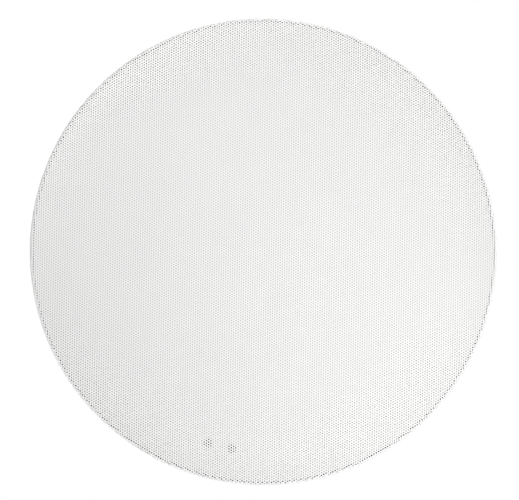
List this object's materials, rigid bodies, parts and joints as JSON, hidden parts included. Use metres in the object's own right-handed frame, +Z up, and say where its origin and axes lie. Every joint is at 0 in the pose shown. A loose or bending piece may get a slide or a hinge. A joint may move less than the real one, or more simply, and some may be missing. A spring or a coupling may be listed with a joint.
{
  "type": "in-ceiling speaker",
  "caption": "Round in-ceiling speaker: white perforated grille over a woofer and tilting tweeter in a frame with swing-out clamps and a crossover.",
  "frame": {"origin": "on the speaker's axis, in the plane of the ceiling's visible face, where the flange seats", "axes": "+Z up into the ceiling along the speaker's axis, so the grille faces -Z; the scrim's two windows lie towards -Y and the crossover towards +Y"},
  "size_m": [0.233, 0.233, 0.0799],
  "materials": {
    "grille_white": "fine matt powder coat",
    "scrim_white": "fine woven cloth",
    "magnet_nickel": "bright nickel plate",
    "frame_black": "fine moulded texture",
    "foam_grey": "closed-cell foam",
    "arm_black": "glass-filled moulding",
    "nut_brass": "turned",
    "screw_zinc": "zinc plated",
    "screw_black": "black finish",
    "basket_black": "satin black paint on pressed steel",
    "gasket_black": "soft gasket",
    "surround_rubber": "butyl rubber",
    "cone_poly": "satin polypropylene",
    "former_aluminium": "thin sheet",
    "copper_wire": "enamelled copper wire",
    "spider_cloth": "resin-dipped cloth",
    "motor_steel": "zinc plated",
    "ferrite": "ground ferrite",
    "phenolic": "paper laminate",
    "tinned_lug": "tin plated",
    "tweeter_black": "fine moulded texture",
    "dome_silk": "coated cloth",
    "tray_black": "moulded",
    "board_green": "solder mask",
    "bobbin_white": "nylon",
    "film_red": "moulded case",
    "can_sleeve": "shrink sleeve",
    "resistor_cement": "cement",
    "terminal_black": "moulded",
    "lever_red": "moulded",
    "lever_black": "moulded"
  },
  "bodies": {
    "frame": {"grille": "grille_white", "grille_scrim": "scrim_white", "grille_magnets": "magnet_nickel", "frame": "frame_black", "ceiling_gasket": "foam_grey", "woofer_basket": "basket_black", "woofer_gasket": "gasket_black", "woofer_screws": "screw_zinc", "woofer_surround": "surround_rubber", "spider": "spider_cloth", "top_plate": "motor_steel", "ferrite_magnet": "ferrite", "pole_yoke": "motor_steel", "lug_strip": "phenolic", "solder_lugs": "tinned_lug", "tweeter_bridge": "tweeter_black", "bridge_screws": "screw_black", "crossover_tray": "tray_black", "tray_screws": "screw_zinc", "crossover_board": "board_green", "low_pass_bobbin": "bobbin_white", "low_pass_winding": "copper_wire", "high_pass_bobbin": "bobbin_white", "high_pass_winding": "copper_wire", "film_capacitor": "film_red", "electrolytic_capacitor": "can_sleeve", "cement_resistor": "resistor_cement", "terminal_block": "terminal_black", "terminal_contacts": "tinned_lug", "terminal_screws": "screw_zinc"},
    "cone": {"woofer_cone": "cone_poly", "dust_cap": "cone_poly", "coil_former": "former_aluminium", "voice_coil": "copper_wire"},
    "tweeter": {"tweeter_pod": "tweeter_black", "tweeter_faceplate": "tweeter_black", "tweeter_diaphragm": "dome_silk", "tweeter_coil": "copper_wire", "tweeter_pole_plate": "motor_steel", "tweeter_magnet": "magnet_nickel", "tweeter_cup": "motor_steel"},
    "red_lever": {"terminal_lever_red": "lever_red"},
    "black_lever": {"terminal_lever_black": "lever_black"},
    "screw_1": {"clamp_screw_1": "screw_zinc"},
    "nut_1": {"clamp_nut_1": "nut_brass"},
    "arm_1": {"clamp_arm_1": "arm_black"},
    "screw_2": {"clamp_screw_2": "screw_zinc"},
    "nut_2": {"clamp_nut_2": "nut_brass"},
    "arm_2": {"clamp_arm_2": "arm_black"},
    "screw_3": {"clamp_screw_3": "screw_zinc"},
    "nut_3": {"clamp_nut_3": "nut_brass"},
    "arm_3": {"clamp_arm_3": "arm_black"},
    "screw_4": {"clamp_screw_4": "screw_zinc"},
    "nut_4": {"clamp_nut_4": "nut_brass"},
    "arm_4": {"clamp_arm_4": "arm_black"}
  },
  "joints": [
    {"name": "cone_travel", "type": "slide", "parent": "frame", "child": "cone", "axis": [0, 0, 1], "range_m": [-0.004, 0.004], "stiffness_N_per_m": 1500, "deforming": ["woofer_surround", "spider"]},
    {"name": "tweeter_tilt", "type": "hinge", "parent": "frame", "child": "tweeter", "pos_m": [0, 0, 0.006], "axis": [1, 0, 0], "range_deg": [-15, 15]},
    {"name": "red_lever_press", "type": "slide", "parent": "frame", "child": "red_lever", "axis": [0, 0, -1], "range_m": [0, 0.0025], "stiffness_N_per_m": 800},
    {"name": "black_lever_press", "type": "slide", "parent": "frame", "child": "black_lever", "axis": [0, 0, -1], "range_m": [0, 0.0025], "stiffness_N_per_m": 800},
    {"name": "screw_1_turn", "type": "hinge", "parent": "frame", "child": "screw_1", "pos_m": [0.06505, 0.06505, 0.009], "axis": [0, 0, 1], "range_deg": [0, 5130]},
    {"name": "nut_1_travel", "type": "slide", "parent": "frame", "child": "nut_1", "axis": [0, 0, -1], "range_m": [0, 0.0285]},
    {"name": "arm_1_swing", "type": "hinge", "parent": "nut_1", "child": "arm_1", "pos_m": [0.06505, 0.06505, 0.048], "axis": [0, 0, 1], "range_deg": [0, 90]},
    {"name": "screw_2_turn", "type": "hinge", "parent": "frame", "child": "screw_2", "pos_m": [-0.06505, 0.06505, 0.009], "axis": [0, 0, 1], "range_deg": [0, 5130]},
    {"name": "nut_2_travel", "type": "slide", "parent": "frame", "child": "nut_2", "axis": [0, 0, -1], "range_m": [0, 0.0285]},
    {"name": "arm_2_swing", "type": "hinge", "parent": "nut_2", "child": "arm_2", "pos_m": [-0.06505, 0.06505, 0.048], "axis": [0, 0, 1], "range_deg": [0, 90]},
    {"name": "screw_3_turn", "type": "hinge", "parent": "frame", "child": "screw_3", "pos_m": [-0.06505, -0.06505, 0.009], "axis": [0, 0, 1], "range_deg": [0, 5130]},
    {"name": "nut_3_travel", "type": "slide", "parent": "frame", "child": "nut_3", "axis": [0, 0, -1], "range_m": [0, 0.0285]},
    {"name": "arm_3_swing", "type": "hinge", "parent": "nut_3", "child": "arm_3", "pos_m": [-0.06505, -0.06505, 0.048], "axis": [0, 0, 1], "range_deg": [0, 90]},
    {"name": "screw_4_turn", "type": "hinge", "parent": "frame", "child": "screw_4", "pos_m": [0.06505, -0.06505, 0.009], "axis": [0, 0, 1], "range_deg": [0, 5130]},
    {"name": "nut_4_travel", "type": "slide", "parent": "frame", "child": "nut_4", "axis": [0, 0, -1], "range_m": [0, 0.0285]},
    {"name": "arm_4_swing", "type": "hinge", "parent": "nut_4", "child": "arm_4", "pos_m": [0.06505, -0.06505, 0.048], "axis": [0, 0, 1], "range_deg": [0, 90]}
  ],
  "couplings": [
    {"joint": "screw_1_turn", "follows": "nut_1_travel", "rad_per_m": 3141.6},
    {"joint": "screw_2_turn", "follows": "nut_2_travel", "rad_per_m": 3141.6},
    {"joint": "screw_3_turn", "follows": "nut_3_travel", "rad_per_m": 3141.6},
    {"joint": "screw_4_turn", "follows": "nut_4_travel", "rad_per_m": 3141.6}
  ]
}
